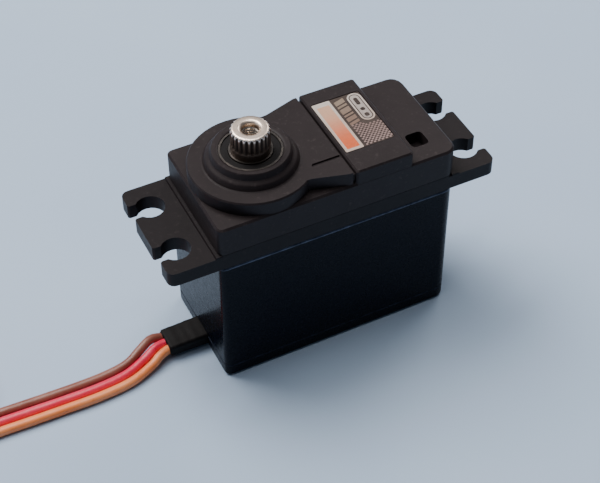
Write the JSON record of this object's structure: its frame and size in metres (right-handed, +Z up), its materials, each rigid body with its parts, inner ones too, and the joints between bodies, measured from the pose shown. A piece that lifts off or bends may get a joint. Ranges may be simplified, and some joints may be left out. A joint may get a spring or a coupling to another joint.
{
  "type": "position servo motor",
  "caption": "Rectangular three-wire position servo with two slotted ears, a round stepped boss, a splined output shaft, a geared motor inside and a coiled lead with a three-way connector.",
  "frame": {"origin": "on the case's bottom face, midway between the ears' outer ends", "axes": "+Z up along the output shaft, +X along the case from the output end to the far end, +Y across the case"},
  "size_m": [0.1125, 0.0318, 0.0408],
  "materials": {
    "cover_plastic": "matt dark moulded plastic",
    "case_plastic": "glossy near-black moulded plastic",
    "screw_steel": "plated screw steel",
    "bearing_steel": "ground bearing steel",
    "shaft_metal": "nickel plated, lightly brassy",
    "gear_brass": "hobbed brass",
    "pinion_steel": "hardened steel",
    "motor_steel": "drawn steel can",
    "motor_plastic": "matt plastic end cap",
    "magnet": "sintered magnet",
    "winding": "varnished copper wire",
    "pot_resin": "moulded resin",
    "tin": "tinned metal",
    "board": "green solder mask",
    "chip": "moulded package",
    "label_print": null,
    "boot_rubber": "soft rubber",
    "wire_brown": "brown insulation",
    "wire_red": "red insulation",
    "wire_orange": "orange insulation",
    "connector_plastic": "black moulded housing",
    "contact_gold": "gold-plated contact",
    "tie_nylon": "nylon tie"
  },
  "bodies": {
    "case": {"top_cover": "cover_plastic", "mounting_frame": "cover_plastic", "motor_case": "case_plastic", "bottom_cover": "case_plastic", "label_plate": "label_print", "strain_relief_boot": "boot_rubber", "case_screw_1": "screw_steel", "case_screw_2": "screw_steel", "case_screw_3": "screw_steel", "case_screw_4": "screw_steel", "upper_bearing_outer_ring": "bearing_steel", "upper_bearing_shield": "boot_rubber", "lower_bearing_outer_ring": "bearing_steel", "gear_pin_a": "pinion_steel", "gear_pin_b": "pinion_steel", "motor_can": "motor_steel", "motor_end_cap": "motor_plastic", "motor_magnet": "magnet", "motor_terminal_1": "tin", "motor_terminal_2": "tin", "pot_body": "pot_resin", "pot_lead_1": "tin", "pot_lead_2": "tin", "pot_lead_3": "tin", "circuit_board": "board", "controller_chip": "chip", "driver_chip": "chip", "capacitor": "motor_steel", "resonator": "motor_steel", "lead_brown": "wire_brown", "lead_red": "wire_red", "lead_orange": "wire_orange", "lead_brown_end": "wire_brown", "lead_red_end": "wire_red", "lead_orange_end": "wire_orange", "lead_coil": "wire_brown", "lead_tie": "tie_nylon", "connector_body": "connector_plastic", "contact_1": "contact_gold", "contact_2": "contact_gold", "contact_3": "contact_gold"},
    "output": {"output_shaft": "shaft_metal", "output_gear": "gear_brass", "upper_bearing_inner_ring": "bearing_steel", "lower_bearing_inner_ring": "bearing_steel", "pot_shaft": "tin"},
    "gear_3": {"gear_3_wheel": "gear_brass", "gear_3_pinion": "pinion_steel"},
    "gear_2": {"gear_2_wheel": "gear_brass", "gear_2_pinion": "pinion_steel"},
    "gear_1": {"gear_1_wheel": "gear_brass", "gear_1_pinion": "pinion_steel"},
    "rotor": {"motor_shaft": "pinion_steel", "motor_pinion": "gear_brass", "motor_winding": "winding"},
    "upper_cage": {"upper_bearing_ball_cage": "bearing_steel"},
    "lower_cage": {"lower_bearing_ball_cage": "bearing_steel"}
  },
  "joints": [
    {"name": "output_spin", "type": "hinge", "parent": "case", "child": "output", "pos_m": [-0.0096, 0, 0.036], "axis": [0, 0, 1], "range_deg": [-90, 90]},
    {"name": "gear_3_spin", "type": "hinge", "parent": "case", "child": "gear_3", "pos_m": [-0.0001, 0, 0.03], "axis": [0, 0, 1], "range_deg": [-252, 252]},
    {"name": "gear_2_spin", "type": "hinge", "parent": "case", "child": "gear_2", "pos_m": [0.00772, 0.0017, 0.03], "axis": [0, 0, 1], "range_deg": [-756, 756]},
    {"name": "gear_1_spin", "type": "hinge", "parent": "case", "child": "gear_1", "pos_m": [-0.0001, 0, 0.03], "axis": [0, 0, 1], "range_deg": [-2394, 2394]},
    {"name": "motor_spin", "type": "hinge", "parent": "case", "child": "rotor", "pos_m": [0.00813, -0.0017, 0.02], "axis": [0, 0, 1], "range_deg": [-11012.4, 11012.4]},
    {"name": "upper_cage_spin", "type": "hinge", "parent": "case", "child": "upper_cage", "pos_m": [-0.0096, 0, 0.036], "axis": [0, 0, 1], "range_deg": [-38.69, 38.69]},
    {"name": "lower_cage_spin", "type": "hinge", "parent": "case", "child": "lower_cage", "pos_m": [-0.0096, 0, 0.036], "axis": [0, 0, 1], "range_deg": [-37.51, 37.51]}
  ],
  "couplings": [
    {"joint": "gear_3_spin", "follows": "output_spin", "ratio": -2.8},
    {"joint": "gear_2_spin", "follows": "output_spin", "ratio": 8.4},
    {"joint": "gear_1_spin", "follows": "output_spin", "ratio": -26.6},
    {"joint": "motor_spin", "follows": "output_spin", "ratio": 122.36},
    {"joint": "upper_cage_spin", "follows": "output_spin", "ratio": 0.4299},
    {"joint": "lower_cage_spin", "follows": "output_spin", "ratio": 0.4168}
  ]
}
